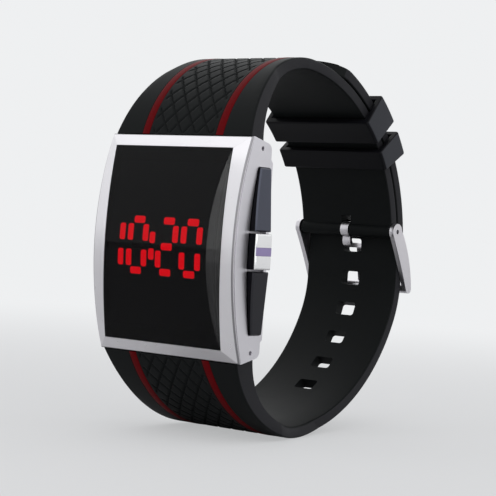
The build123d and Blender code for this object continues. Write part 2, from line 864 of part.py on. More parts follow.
def strap_upper():
    """Half at 12 o'clock, which ends round the buckle's pin."""
    outer, inner = upper_paths()
    half = across(ribbon(outer, inner), strap_root_half) & taper_block("upper")
    half -= root_cut("upper")
    half += tongue("upper")
    half += rod(-strap_back_half, strap_back_half, pin_eye_r, *pin_place)
    half -= rod(-strap_root_half, strap_root_half, pin_r + bar_play, *pin_place)
    notch = prong_width / 2 + buckle_play
    pin_y, pin_z = pin_place
    half -= span(-notch, notch, pin_y - strap_wall, pin_y + overrun, pin_z - prong_notch, pin_z + prong_notch)
    for band in stripe_pair("upper", stripe_play):
        half -= band
    return half


def strap_lower():
    """Half at 6 o'clock, with its holes and its free end."""
    outer, inner = lower_paths()
    half = across(ribbon(outer, inner), strap_root_half) & taper_block("lower")
    half -= root_cut("lower")
    half += tongue("lower")
    half -= tail_cut()
    for hole in strap_slots():
        half -= hole
    for band in stripe_pair("lower", stripe_play):
        half -= band
    return half


def tail_cut():
    """Rounds the free end in its top view."""
    tip = polar(top_centre, tail_outer_r, tail_end_turn)
    y0 = tip[0] - strap_wall
    half = strap_back_half
    block = Rectangle(2 * half + 2 * overrun, tail_round + strap_wall)
    block = Pos(0, y0 + (tail_round + strap_wall) / 2) * block
    lead = Pos(0, y0 + strap_wall + tail_round) * Ellipse(half, tail_round)
    corner = extrude(block - lead, case_height)
    return Pos(0, 0, top_centre_z + case_height / 3) * corner


def slot_path():
    """Middle line of the 6 o'clock half's wall, from the end of its root to the free end."""
    outer, inner = lower_paths()
    return Wire(path_edges([(c, r - strap_wall / 2, a, b) for c, r, a, b in outer[1:]]))


def strap_slots():
    """Rectangular holes at an even pitch, each square to the strap."""
    wire = slot_path()
    length = wire.length
    middle_r = tail_outer_r - strap_wall / 2
    first_turn = asin((slot_first_z - top_centre_z) / middle_r)
    first = length - (radians(tail_end_turn) - first_turn) * middle_r
    holes = []
    for step in range(-slots_down, slots_up + 1):
        at = (first + step * slot_pitch) / length
        place = wire @ at
        along = wire % at
        plane = Plane((0, place.X, place.Y), x_dir=(1, 0, 0), z_dir=(0, -along.Y, along.X))
        plan = fillet(Rectangle(slot_width, slot_length).vertices(), slot_length / 5)
        holes.append(plane * extrude(plan, strap_wall, both=True))
    return holes


def stripes(side):
    """Coloured inlays of one half."""
    return solids_of(stripe_pair(side, 0))


def lug_bars():
    """Two sprung bars that hold the strap, each with its two tips."""
    bars = []
    barrel = half_w - cheek_wall
    for z in (bar_z, -bar_z):
        bar = rod(-barrel, barrel, bar_r, bar_y, z)
        tips = half_w - bar_tip_inset
        bars.append(bar + rod(-tips, tips, bar_tip_r, bar_y, z))
    return Compound(children=bars)


# Keepers and buckle


def keeper(turns):
    """Rubber loop round both layers of the strap, swept about the top arc's centre."""
    low, high = turns
    inner = top_inner_r - keeper_play
    outer = tail_outer_r + keeper_play
    hole = Plane.XY * Pos(0, (inner + outer) / 2) * Rectangle(2 * keeper_half, outer - inner)
    body = Rectangle(2 * (keeper_half + keeper_wall), outer - inner + 2 * keeper_wall)
    body = Plane.XY * Pos(0, (inner + outer) / 2) * fillet(body.vertices(), keeper_wall / 2)
    section = Pos(0, top_centre_y, top_centre_z) * (body - hole)
    axis = Axis((0, top_centre_y, top_centre_z), (1, 0, 0))
    return revolve(section.rotate(axis, low), axis, high - low)


def buckle_bar_place():
    """Centre of the outer bar, just outside the strap below the pin."""
    back_y = top_centre_y + tail_outer_r + buckle_play + buckle_bar_r
    drop = sqrt(buckle_reach ** 2 - (back_y - pin_place[0]) ** 2)
    return back_y, pin_place[1] - drop


def buckle_arm_face():
    """Side view of an arm: a round boss on the pin that narrows to the outer bar."""
    bar = buckle_bar_place()
    boss = Pos(*pin_place) * Circle(pin_boss_r)
    foot = Pos(*bar) * Circle(buckle_bar_r)
    turn = degrees(atan2(bar[1] - pin_place[1], bar[0] - pin_place[0]))
    near_in = polar(pin_place, pin_boss_r, turn - 95)
    near_out = polar(pin_place, pin_boss_r, turn + 75)
    far_in = polar(bar, buckle_bar_r, turn - 95)
    far_out = polar(bar, buckle_bar_r, turn + 60)
    middle_in = ((near_in[0] + far_in[0]) / 2 + buckle_bar_r / 4, (near_in[1] + far_in[1]) / 2)
    middle_out = ((near_out[0] + far_out[0]) / 2 + buckle_bar_r, (near_out[1] + far_out[1]) / 2)
    blade = make_face([ThreePointArc(near_in, middle_in, far_in), Line(far_in, far_out),
                       ThreePointArc(far_out, middle_out, near_out), Line(near_out, near_in)])
    return Plane.YZ * (boss + foot + blade)


def buckle_frame():
    """Two arms and the outer bar."""
    inner = strap_back_half + buckle_play
    arm = extrude(buckle_arm_face(), buckle_arm, dir=(1, 0, 0))
    right = Pos(inner, 0, 0) * arm
    left = Pos(-inner - buckle_arm, 0, 0) * arm
    frame = right + left + rod(-inner - buckle_arm, inner + buckle_arm, buckle_bar_r, *buckle_bar_place())
    return frame - rod(-case_width, case_width, pin_tip_r + bar_play, *pin_place)


def buckle_pin():
    """Sprung pin through the strap's end and the arms."""
    barrel = strap_back_half
    tips = strap_back_half + buckle_play + buckle_arm - pin_tip_inset
    return rod(-barrel, barrel, pin_r, *pin_place) + rod(-tips, tips, pin_tip_r, *pin_place)


def prong_face():
    """Side view of the tongue: an eye on the pin, a step out through the hole and a tip over the bar."""
    eye = Pos(*pin_place) * Circle(pin_r + prong_wall)
    outside = top_centre_y + tail_outer_r + buckle_play + prong_wall
    bar = buckle_bar_place()
    tip = (bar[0] + buckle_bar_r + buckle_play + prong_wall / 2, bar[1] - buckle_bar_r)
    bends = (pin_place[0], slot_first_z), (outside, slot_first_z)
    line = FilletPolyline(pin_place, *bends, tip, radius=prong_wall)
    ribbon_face = trace(line, prong_wall)
    return Plane.YZ * (eye + ribbon_face)


def buckle_tongue():
    """Tongue that turns on the pin and rests on the outer bar."""
    tongue_solid = across(prong_face(), prong_width / 2)
    return tongue_solid - rod(-case_width, case_width, pin_r + bar_play, *pin_place)


def build():
    """All nodes, by name."""
    nodes = {
        "case_body": case_body(),
        "bezel": bezel(),
        "lens": lens(),
        "lens_gasket": lens_gasket(),
        "display_mask": display_mask(),
        "led_bars_lit": led_bars(True),
        "led_bars_unlit": led_bars(False),
        "led_board": led_board(),
        "module_frame": module_frame(),
        "circuit_board": circuit_board(),
        "controller_chip": chip(),
        "quartz_can": quartz_can(),
        "button_cell": cell(),
        "cell_contact": cell_contact(),
        "cell_clip": cell_clip(),
        "switch_contacts": switch_contacts(),
        "case_back": case_back(),
        "back_gasket": gasket_track(0),
        "back_screws": back_screws(),
        "lug_spring_bars": lug_bars(),
        "strap_upper": strap_upper(),
        "strap_lower": strap_lower(),
        "stripes_upper": stripes("upper"),
        "stripes_lower": stripes("lower"),
        "fixed_keeper": keeper(fixed_keeper_turns),
        "sliding_keeper": keeper(sliding_keeper_turns),
        "buckle_frame": buckle_frame(),
        "buckle_pin": buckle_pin(),
        "buckle_tongue": buckle_tongue(),
    }
    nodes.update(pushers())
    return nodes


def placed(shape):
    """A node with each of its solids moved from the corner plane to the wrist's axis."""
    solids = [Pos(0, -wrist_to_front, 0) * solid for solid in shape.solids()]
    return solids[0] if len(solids) == 1 else Compound(children=solids)


def main():
    os.makedirs("parts", exist_ok=True)
    for name, shape in build().items():
        node = placed(shape)
        export_step(node, "parts/" + name + ".step")
        print(name, len(node.solids()), round(node.volume, 2))


main()
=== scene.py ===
from math import asin, atan2, cos, hypot, pi, radians, sin, sqrt, tan

import bpy
from mathutils import Matrix, Vector


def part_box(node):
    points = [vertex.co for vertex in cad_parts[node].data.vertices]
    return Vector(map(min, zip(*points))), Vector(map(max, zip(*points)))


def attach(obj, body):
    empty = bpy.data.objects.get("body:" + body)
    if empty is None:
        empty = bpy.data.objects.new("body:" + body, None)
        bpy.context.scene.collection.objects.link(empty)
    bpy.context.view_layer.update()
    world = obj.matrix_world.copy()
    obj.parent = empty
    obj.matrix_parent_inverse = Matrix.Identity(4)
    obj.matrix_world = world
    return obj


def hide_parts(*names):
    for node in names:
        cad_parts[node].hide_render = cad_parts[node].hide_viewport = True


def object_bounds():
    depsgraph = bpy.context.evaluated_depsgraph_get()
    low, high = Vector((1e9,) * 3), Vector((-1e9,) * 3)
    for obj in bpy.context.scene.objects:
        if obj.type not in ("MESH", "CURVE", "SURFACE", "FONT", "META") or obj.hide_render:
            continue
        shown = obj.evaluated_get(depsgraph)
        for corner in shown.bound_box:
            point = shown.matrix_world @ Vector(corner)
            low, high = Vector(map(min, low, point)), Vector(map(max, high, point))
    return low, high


# LED wristwatch: curved steel case with a mitred bezel, domed tinted lens over red light bars,
# three side pushers and a buckled silicone strap with two inlaid stripes and a diamond relief.
# The frame is the part's own: X to 3 o'clock, Z to 12 o'clock, the dial faces -Y. Sizes are in metres.

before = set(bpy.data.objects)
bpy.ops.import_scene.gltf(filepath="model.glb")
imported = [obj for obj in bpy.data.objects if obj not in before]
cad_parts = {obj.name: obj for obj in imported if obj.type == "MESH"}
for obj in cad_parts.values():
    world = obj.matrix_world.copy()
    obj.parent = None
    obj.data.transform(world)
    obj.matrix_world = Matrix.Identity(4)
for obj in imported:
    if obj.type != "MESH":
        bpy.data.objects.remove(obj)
cad_low, cad_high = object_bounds()
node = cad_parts
MM = 0.001

# Case, bezel and lens
wrist_to_front = 35.0 * MM
bezel_low, bezel_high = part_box("bezel")
half_w, half_h = bezel_high.x, bezel_high.z
case_bow = -wrist_to_front - bezel_low.y
side_bar, end_bar = 3.16 * MM, 2.57 * MM
window_x, window_z = half_w - side_bar, half_h - end_bar
bezel_rise = 2.35 * MM
bezel_inner_bow = 1.95 * MM
bezel_band = 0.5 * MM
bezel_seat = 0.7 * MM
bezel_edge, bezel_round = 0.3 * MM, 0.13 * MM
lens_bow = 4.0 * MM
lens_play = 0.08 * MM
lens_back = 0.16 * MM
lens_round = 0.06 * MM
mask_border = 0.9 * window_x    # from here outwards the lens is printed black behind
bezel_slices, lens_slices = 40, 64
blank_depth, blank_inset = 2 * MM, 1 * MM
rim_reach, front_reach = 0.1 * MM, 0.01 * MM
case_round = 0.08 * MM
button_round, buckle_round, tongue_round, keeper_round = 0.05 * MM, 0.22 * MM, 0.2 * MM, 0.35 * MM
band_depth, band_play = 0.12 * MM, 0.02 * MM
cad_weld, sweep_weld, flat_turn = 0.002 * MM, 0.0005 * MM, radians(1.0)

# Strap, as arcs in the side view about centres (y from the case's corner plane, z)
strap_back_half = 12.8 * MM
strap_root_half = 18.4 * MM
strap_wall = 2.5 * MM
strap_seam = 0.1 * MM
end_slope = radians(13.0)
end_slope_start = 0.56 * MM
top_centre = (24.0 * MM, 0.8 * MM)
top_inner_r = 38.5 * MM
strap_outer_r = top_inner_r + strap_wall
under_r = 42.1 * MM
tail_outer_r = strap_outer_r + 0.3 * MM + strap_wall
upper_roots = ((84.8, 0.1 * MM), (85.2, 4.69 * MM))
lower_roots = ((-84.8, 0.02 * MM), (-88.6, 5.98 * MM))
heel_r, heel_turn = 24.0 * MM, -25.03
heel_y = top_centre[0] + tail_outer_r - heel_r
under_centre = (heel_y - (under_r - heel_r) * cos(radians(heel_turn)), 1.9 * MM)
pin_turn = 7.2
tail_turn = 74.0
tail_round = 6.0 * MM
tail_tip_share = 0.02
tail_step = 0.3 * MM
tail_fine = 1.4 * tail_round
last_step = 0.02 * MM
taper_end = 38.0 * MM
rise_shares = {"upper": [(0.55, 1.0), (0.79, 0.62), (0.885, 0.39), (0.92, 0.25), (1.0, 0.09)],
               "lower": [(0.57, 0.98), (0.7, 0.8), (0.8, 0.69), (0.9, 0.61), (1.0, 0.55)]}
depth_shares = {"upper": [(0.0, 1.0), (0.27, 0.66), (0.43, 0.42), (0.66, 0.1), (1.0, 0.0)],
                "lower": [(0.0, 1.0), (0.33, 0.72), (0.5, 0.6), (0.7, 0.3), (1.0, 0.0)]}
edge_round = 0.45 * MM
edge_steps, inside_steps = 4, 3
painted_light_side_x = 12.2 * MM
stripe_centre = 10.0 * MM
stripe_width = 2.0 * MM
stripe_depth = 0.5 * MM
stripe_step = 1.0 * MM
stripe_play, stripe_proud, stripe_soft, stripe_crown = 0.02 * MM, 0.03 * MM, 0.12 * MM, 0.02 * MM
stripe_end_turn = 70.0
stripe_under_turn = -64.0
cell_across = 3.7 * MM
cell_along = 4.9 * MM
groove_width = 0.62 * MM
groove_depth = 0.3 * MM
groove_lip = 0.07 * MM
relief_margin = 0.55 * MM
relief_fade, relief_end_fade = 0.3 * MM, 0.5 * MM
relief_step = 0.26 * MM
plain_step = 1.3 * MM
slot_width = 5.0 * MM
slot_length = 3.2 * MM
slot_pitch = 7.9 * MM
slot_first_z = 2.0 * MM
slot_round = 0.6 * MM
slots_down, slots_up = 5, 3
slot_ahead = 0.1 * MM
bar_y, bar_z = 3.4 * MM, half_h - 2.25 * MM
bar_r = 0.75 * MM
bore_play = 0.03 * MM
tongue_r, tongue_side = 1.9 * MM, 3.2 * MM
tongue_play = 0.2 * MM
tongue_round_share = 0.98       # just under its radius, so that the two rounded edges don't meet
pin_r, pin_eye_r = 0.75 * MM, 1.6 * MM
bar_sides = 48
pin_inset = 0.55 * MM
notch_half, notch_reach = 1.3 * MM, 3.2 * MM

# Camera, light and floor
camera_turn, camera_height, camera_roll = radians(38.0), radians(0.757), radians(3.579)
camera_distance = 337.76 * MM
camera_aside, camera_lift = -15.265 * MM, -0.378 * MM
camera_lens, camera_near = 118.0, 0.01
background = (0.86, 0.87, 0.88, 1)
floor_gap, floor_size = 0.05 * MM, 4
floor_clear, floor_faded, floor_lift = 0.08, 0.5, 0.5
studio_lean = (0.82, -0.57, 0.44)
studio_levels = (-0.42, 0.08, 0.14, 0.90)
lamps = {"key": ((0.3, -0.5, 0.5), (0, -0.02, 0), 0.9, 0.7),     # place, target, size and power
         "side": ((0.55, -0.12, 0.16), (0, 0, 0), 0.8, 0.8),
         "rim": ((-0.35, 0.35, 0.4), (0, 0, 0.01), 0.8, 0.8)}


# Mesh helpers

def deselect():
    if bpy.context.object and bpy.context.object.mode != "OBJECT":
        bpy.ops.object.mode_set(mode="OBJECT")
    bpy.ops.object.select_all(action="DESELECT")


def take(piece):
    """Makes a piece the only selected and the active one."""
    deselect()
    piece.hide_set(False)
    piece.select_set(True)
    bpy.context.view_layer.objects.active = piece
    return piece


def edit(piece, faces=None, edges=None):
    """Opens a mesh for editing, with all of it selected or the faces or edges that pass a test."""
    take(piece)
    for vertex in piece.data.vertices:
        vertex.select = False
    for edge in piece.data.edges:
        edge.select = bool(edges and edges(*(piece.data.vertices[i].co for i in edge.vertices)))
    for face in piece.data.polygons:
        face.select = bool(faces and faces(face))
    bpy.context.tool_settings.mesh_select_mode = (False, bool(edges), not edges)
    bpy.ops.object.mode_set(mode="EDIT")
    if not faces and not edges:
        bpy.ops.mesh.select_all(action="SELECT")


def leave():
    bpy.ops.object.mode_set(mode="OBJECT")


def named(name):
    """The primitive just added, applied to the origin and given its name."""
    piece = bpy.context.object
    bpy.ops.object.transform_apply(location=True, rotation=True, scale=True)
    piece.name = name
    piece.data.name = name
    return piece


def block(name, low, high):
    """A box between two corners, as a start for shaping."""
    deselect()
    low, high = Vector(low), Vector(high)
    bpy.ops.mesh.primitive_cube_add(size=1, location=(low + high) / 2, scale=high - low)
    return named(name)


def slice_at(piece, places, normal):
    """Cuts every face where planes with one normal cross it."""
    edit(piece)
    for place in places:
        bpy.ops.mesh.select_all(action="SELECT")
        bpy.ops.mesh.bisect(plane_co=Vector(normal) * place, plane_no=normal)
    leave()


def apply_modifier(piece, kind, **values):
    """Adds one modifier, sets its values and applies it."""
    take(piece)
    modifier = piece.modifiers.new(kind.lower(), kind)
    for key, value in values.items():
        setattr(modifier, key, value)
    bpy.ops.object.modifier_apply(modifier=modifier.name)
    return piece


def soften(piece, width, segments=2, angle=30.0, smooth=40.0):
    """Rounds the sharp edges and shades the rest smooth."""
    apply_modifier(piece, "BEVEL", width=width, segments=segments, limit_method="ANGLE",
                   angle_limit=radians(angle), use_clamp_overlap=True)
    return shade(piece, smooth)


def shade(piece, smooth=40.0):
    take(piece)
    bpy.ops.object.shade_smooth_by_angle(angle=radians(smooth))
    return apply_modifier(piece, "WEIGHTED_NORMAL", keep_sharp=True)


def outward(piece):
    edit(piece)
    bpy.ops.mesh.normals_make_consistent(inside=False)
    leave()
    return piece


def cad_copy(name, source):
    """A merged copy of a CAD node's mesh, ready for finishing."""
    mesh = node[source].data.copy()
    piece = bpy.data.objects.new(name, mesh)
    bpy.context.scene.collection.objects.link(piece)
    mesh.materials.clear()
    edit(piece)
    bpy.ops.mesh.remove_doubles(threshold=cad_weld)
    bpy.ops.mesh.dissolve_limited(angle_limit=flat_turn)
    leave()
    return piece


def coat(piece, *looks):
    piece.data.materials.clear()
    for look in looks:
        piece.data.materials.append(look)
    return piece


def second_look(piece, look, test):
    """Gives the faces that pass a test a second material."""
    piece.data.materials.append(look)
    for face in piece.data.polygons:
        if test(face):
            face.material_index = len(piece.data.materials) - 1
    return piece


def with_painted_light_sides(piece, look, painted_light_look):
    """Silicone whose flat sides are a shade lighter than the rest, as painted light: the colour stands in
    for the light that falls on those sides.
    """
    return second_look(coat(piece, look), painted_light_look,
                       lambda face: abs(face.normal.x) > 0.9 and abs(face.center.x) > painted_light_side_x)


def finished(piece, body, slot, look, *replaced):
    """Gives a piece its material and body, and hides the nodes it stands for. The record slot is not used.
    """
    if look:
        coat(piece, look)
    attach(piece, body)
    if replaced:
        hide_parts(*replaced)
    return piece


def join(pieces, name):
    take(pieces[0])
    for piece in pieces[1:]:
        piece.select_set(True)
    bpy.ops.object.join()
    pieces[0].name = name
    pieces[0].data.name = name
    return pieces[0]


# Shader helpers

finish_outputs = [("Height", "NodeSocketFloat"), ("Roughness", "NodeSocketFloat"),
                  ("Color", "NodeSocketColor")]


def new_group(name, inputs, outputs):
    """An empty shader node group with float or colour sockets."""
    group = bpy.data.node_groups.new(name, "ShaderNodeTree")
    for title, value in inputs:
        kind = "NodeSocketColor" if isinstance(value, tuple) else "NodeSocketFloat"
        socket = group.interface.new_socket(title, in_out="INPUT", socket_type=kind)
        socket.default_value = value
    for title, kind in outputs:
        group.interface.new_socket(title, in_out="OUTPUT", socket_type=kind)
    return group, group.nodes.new("NodeGroupInput"), group.nodes.new("NodeGroupOutput")


def add(tree, kind, **values):
    """A shader node with its sockets or its settings given by name."""
    made = tree.nodes.new(kind)
    for key, value in values.items():
        if key in made.inputs:
            made.inputs[key].default_value = value
        else:
            setattr(made, key, value)
    return made


def rubber_grain():
    """Fine moulded grain: a height, a roughness and a slight change of colour."""
    group, given, put = new_group("rubber_grain", [("Scale", 900.0), ("Roughness", 0.5),
                                                   ("Base", (0.02, 0.02, 0.02, 1))], finish_outputs)
    place = add(group, "ShaderNodeTexCoord")
    grain = add(group, "ShaderNodeTexNoise", Detail=4.0)
    group.links.new(place.outputs["Object"], grain.inputs["Vector"])
    group.links.new(given.outputs["Scale"], grain.inputs["Scale"])
    patches = add(group, "ShaderNodeTexNoise", Scale=90.0, Detail=3.0)
    group.links.new(place.outputs["Object"], patches.inputs["Vector"])
    spread = add(group, "ShaderNodeMapRange", **{"To Min": -0.06, "To Max": 0.06})
    group.links.new(patches.outputs["Fac"], spread.inputs["Value"])
    total = add(group, "ShaderNodeMath", operation="ADD")
    group.links.new(spread.outputs["Result"], total.inputs[0])
    group.links.new(given.outputs["Roughness"], total.inputs[1])
    tone = add(group, "ShaderNodeMapRange", **{"To Min": 0.8, "To Max": 1.25})
    group.links.new(patches.outputs["Fac"], tone.inputs["Value"])
    tint = add(group, "ShaderNodeVectorMath", operation="SCALE")
    group.links.new(given.outputs["Base"], tint.inputs[0])
    group.links.new(tone.outputs["Result"], tint.inputs["Scale"])
    group.links.new(grain.outputs["Fac"], put.inputs["Height"])
    group.links.new(total.outputs["Value"], put.inputs["Roughness"])
    group.links.new(tint.outputs["Vector"], put.inputs["Color"])
    return group


def metal_finish():
    """Satin metal: fine streaks for height and roughness, and worn tone."""
    group, given, put = new_group("metal_finish", [("Along", 40.0), ("Across", 1600.0), ("Roughness", 0.3),
                                                   ("Spread", 0.06), ("Base", (0.8, 0.8, 0.8, 1))],
                                  finish_outputs)
    place = add(group, "ShaderNodeTexCoord")
    stretch = add(group, "ShaderNodeCombineXYZ")
    group.links.new(given.outputs["Across"], stretch.inputs["X"])
    group.links.new(given.outputs["Across"], stretch.inputs["Y"])
    group.links.new(given.outputs["Along"], stretch.inputs["Z"])
    scaled = add(group, "ShaderNodeVectorMath", operation="MULTIPLY")
    group.links.new(place.outputs["Object"], scaled.inputs[0])
    group.links.new(stretch.outputs["Vector"], scaled.inputs[1])
    streaks = add(group, "ShaderNodeTexNoise", Scale=1.0, Detail=3.0)
    group.links.new(scaled.outputs["Vector"], streaks.inputs["Vector"])
    centred = add(group, "ShaderNodeMath", operation="SUBTRACT")
    group.links.new(streaks.outputs["Fac"], centred.inputs[0])
    centred.inputs[1].default_value = 0.5
    scaled_spread = add(group, "ShaderNodeMath", operation="MULTIPLY_ADD")
    group.links.new(centred.outputs["Value"], scaled_spread.inputs[0])
    group.links.new(given.outputs["Spread"], scaled_spread.inputs[1])
    group.links.new(given.outputs["Roughness"], scaled_spread.inputs[2])
    wear = add(group, "ShaderNodeTexNoise", Scale=160.0, Detail=2.0)
    group.links.new(place.outputs["Object"], wear.inputs["Vector"])
    tone = add(group, "ShaderNodeMapRange", **{"To Min": 0.95, "To Max": 1.04})
    group.links.new(wear.outputs["Fac"], tone.inputs["Value"])
    tint = add(group, "ShaderNodeVectorMath", operation="SCALE")
    group.links.new(given.outputs["Base"], tint.inputs[0])
    group.links.new(tone.outputs["Result"], tint.inputs["Scale"])
    group.links.new(streaks.outputs["Fac"], put.inputs["Height"])
    group.links.new(scaled_spread.outputs["Value"], put.inputs["Roughness"])
    group.links.new(tint.outputs["Vector"], put.inputs["Color"])
    return group


grain_group = rubber_grain()
metal_group = metal_finish()


def shader(name, **values):
    """A material with its Principled shader's own sockets set."""
    look = bpy.data.materials.new(name)
    look.use_nodes = True
    principled = look.node_tree.nodes["Principled BSDF"]
    for key, value in values.items():
        principled.inputs[key.replace("_", " ")].default_value = value
    return look, look.node_tree, principled


def finish_with(group, name, height, values, **sockets):
    """A material whose colour, roughness and fine height come from one of the groups."""
    look, tree, principled = shader(name, **sockets)
    detail = tree.nodes.new("ShaderNodeGroup")
    detail.node_tree = group
    for key, value in values.items():
        detail.inputs[key].default_value = value
    tree.links.new(detail.outputs["Color"], principled.inputs["Base Color"])
    tree.links.new(detail.outputs["Roughness"], principled.inputs["Roughness"])
    bump = add(tree, "ShaderNodeBump", Strength=1.0, Distance=height)
    tree.links.new(detail.outputs["Height"], bump.inputs["Height"])
    tree.links.new(bump.outputs["Normal"], principled.inputs["Normal"])
    return look


def metal(name, colour, roughness, spread=0.08, height=0.001 * MM, **sockets):
    values = {"Base": (*colour, 1), "Roughness": roughness, "Spread": spread}
    return finish_with(metal_group, name, height, values, Metallic=1.0, **sockets)


def rubber(name, colour, roughness, height=0.01 * MM, **sockets):
    values = {"Base": (*colour, 1), "Roughness": roughness}
    return finish_with(grain_group, name, height, values, **sockets)


case_steel = metal("case steel", (0.72, 0.705, 0.74), 0.38)
bezel_steel = metal("bezel steel", (0.86, 0.845, 0.87), 0.28, 0.03, 0.0003 * MM)
# Dark steel for the bevel along the bezel's outer front edge: painted shade, standing in for the shaded line
# and dark reflection along that edge.
edge_painted_shade = metal("bezel edge painted shade", (0.28, 0.275, 0.29), 0.30)
back_steel = metal("back steel", (0.62, 0.62, 0.64), 0.28, height=0.002 * MM)
screw_steel = metal("screw steel", (0.66, 0.66, 0.68), 0.25)
buckle_steel = metal("buckle steel", (0.72, 0.70, 0.73), 0.30)
crown_steel = metal("crown steel", (0.98, 0.98, 0.98), 0.24)
crown_band = metal("crown band", (0.36, 0.30, 0.52), 0.32)
flank_black = metal("flank black", (0.009, 0.009, 0.011), 0.35)
upper_grey = metal("upper button grey", (0.085, 0.09, 0.115), 0.42)
lower_grey = metal("lower button grey", (0.04, 0.04, 0.045), 0.42)
spring_steel = metal("spring steel", (0.6, 0.6, 0.62), 0.3)
bar_steel = metal("bar steel", (0.10, 0.10, 0.11), 0.4)
contact_brass = metal("contact brass", (0.78, 0.62, 0.32), 0.3)
strap_black = rubber("strap silicone", (0.0058, 0.0068, 0.0070), 0.5, Specular_IOR_Level=0.08)
keeper_black = rubber("keeper silicone", (0.005, 0.005, 0.0065), 0.42, Specular_IOR_Level=0.1)
# The lighter colours for the flat sides of strap and keepers are painted light, standing in for the light
# that falls on those sides.
strap_side_painted_light = rubber("strap sides painted light", (0.019, 0.019, 0.0215), 0.5, Specular_IOR_Level=0.08)
keeper_side_painted_light = rubber("keeper sides painted light", (0.034, 0.036, 0.042), 0.45, Specular_IOR_Level=0.1)
stripe_red = rubber("stripe red", (0.105, 0.0003, 0.002), 0.5, Specular_IOR_Level=0.05)
seal_black = rubber("seal rubber", (0.015, 0.015, 0.015), 0.6)
tray_black = rubber("tray plastic", (0.03, 0.03, 0.03), 0.5)
board_green = rubber("solder mask", (0.01, 0.10, 0.04), 0.35)
mask_black = rubber("mask black", (0.004, 0.004, 0.005), 0.3, Specular_IOR_Level=0.0)


def glass(name, tint, index):
    return shader(name, Base_Color=(*tint, 1), Roughness=0.03, IOR=index, Transmission_Weight=1.0,
                  Metallic=0.0)[0]


def glow(name, colour, strength):
    return shader(name, Base_Color=(*colour, 1), Roughness=0.4, Specular_IOR_Level=0.0,
                  Emission_Color=(*colour, 1), Emission_Strength=strength)[0]


lens_glass = glass("lens tint", (0.30, 0.28, 0.31), 1.22)
facet_glass = glass("lens facet", (0.30, 0.29, 0.31), 1.55)
bar_red = glow("lit bar", (1.0, 0.0, 0.008), 0.72)
bar_dark = rubber("unlit bar", (0.006, 0.003, 0.004), 0.35, Specular_IOR_Level=0.0)


# Curves that the shapes follow

def bow(amount, share):
    return amount * (1 - share * share)


def front_y(x, z):
    """Front of the bezel: ruled between its outer and inner edges, mitred at the corners."""
    inset = min(1.0, max(0.0, min((half_w - abs(x)) / side_bar, (half_h - abs(z)) / end_bar)))
    reach = half_h + (window_z - half_h) * inset
    share = max(-1.0, min(1.0, z / reach))
    outer, inner = bow(case_bow, share), bezel_rise + bow(bezel_inner_bow, share)
    return -wrist_to_front - outer * (1 - inset) - inner * inset


def even(low, high, count):
    return [low + (high - low) * i / count for i in range(count + 1)]


def bezel():
    """Mitred frame: a block with an inset window through it, bowed to follow the case."""
    piece = block("bezel_frame", (-half_w, -wrist_to_front - blank_depth, -half_h),
                  (half_w, -wrist_to_front + bezel_band, half_h))
    edit(piece, faces=lambda face: abs(face.normal.y) > 0.9)
    bpy.ops.mesh.inset(thickness=blank_inset, use_boundary=True)
    leave()
    for vertex in piece.data.vertices:
        x, y, z = vertex.co
        if abs(x) < half_w - blank_inset / 2 and abs(z) < half_h - blank_inset / 2:
            vertex.co = (window_x if x > 0 else -window_x, y, window_z if z > 0 else -window_z)
    edit(piece, faces=lambda face: abs(face.normal.y) > 0.9 and face.center.xz.length < blank_inset)
    bpy.ops.mesh.bridge_edge_loops()
    leave()
    slice_at(piece, even(-window_z, window_z, bezel_slices)[1:-1], (0, 0, 1))
    for vertex in piece.data.vertices:
        x, y, z = vertex.co
        if y < -wrist_to_front - blank_depth / 2:
            vertex.co.y = front_y(x, z)
        elif on_rim(vertex.co):
            vertex.co.y = -wrist_to_front + bezel_band - bow(case_bow, z / half_h)
        else:
            vertex.co.y = -wrist_to_front + bezel_seat
    coat(outward(piece), bezel_steel, edge_painted_shade)
    # The outer front edge is bevelled in the second, darker material: a painted shaded line.
    edit(piece, edges=lambda a, b: on_rim(a) and on_rim(b) and is_front(a) and is_front(b))
    bpy.ops.mesh.bevel(offset=bezel_edge, segments=3, material=1, clamp_overlap=True)
    leave()
    return soften(piece, bezel_round, segments=3, angle=25.0, smooth=35.0)


def on_rim(place):
    """True for a point on the bezel's outer outline."""
    return abs(place.x) > half_w - rim_reach or abs(place.z) > half_h - rim_reach


def is_front(place):
    """True for a point on the bezel's front."""
    return abs(place.y - front_y(place.x, place.z)) < front_reach


def lens():
    """Domed lens with a crescent facet along each long side."""
    half_x, half_z = window_x - lens_play, window_z - lens_play
    piece = block("lens_dome", (-half_x, -wrist_to_front - blank_depth, -half_z),
                  (half_x, -wrist_to_front + lens_back, half_z))
    slice_at(piece, (-half_x / 2, half_x / 2), (1, 0, 0))
    slice_at(piece, even(-half_z, half_z, lens_slices)[1:-1], (0, 0, 1))
    for vertex in piece.data.vertices:
        x, y, z = vertex.co
        crown, foot = bow(lens_bow, z / window_z), bow(bezel_inner_bow, z / window_z)
        at_side = abs(x) > half_x - rim_reach
        if y < -wrist_to_front - blank_depth / 2:
            vertex.co.y = -wrist_to_front - bezel_rise - (foot if at_side else crown)
        if not at_side:
            vertex.co.x = (1 if x > 0 else -1) * (window_x - (crown - foot))
    coat(outward(piece), lens_glass)
    second_look(piece, facet_glass, lambda face: abs(face.normal.x) > 0.3 and face.normal.y < -0.3)
    second_look(piece, mask_black, lambda face: face.normal.y > 0.9 and face.center.xz.length > mask_border)
    return soften(piece, lens_round, segments=2, angle=12.0, smooth=12.0)


def crown_inlay():
    """Tinted band on the floor of the groove across the crown's face."""
    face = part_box("crown_button")[1].x
    floor = [vertex.co for vertex in node["crown_button"].data.vertices
             if abs(vertex.co.x - face + band_depth) < front_reach]
    low, high = ([pick(spot[axis] for spot in floor) for axis in (1, 2)] for pick in (min, max))
    return soften(block("crown_band", (face - 2 * band_depth, low[0] + band_play, low[1] + band_play),
                        (face - band_play, high[0] - band_play, high[1] - band_play)), band_play)


# Strap

def polar(centre, radius, turn):
    return (centre[0] + radius * cos(radians(turn)), centre[1] + radius * sin(radians(turn)))


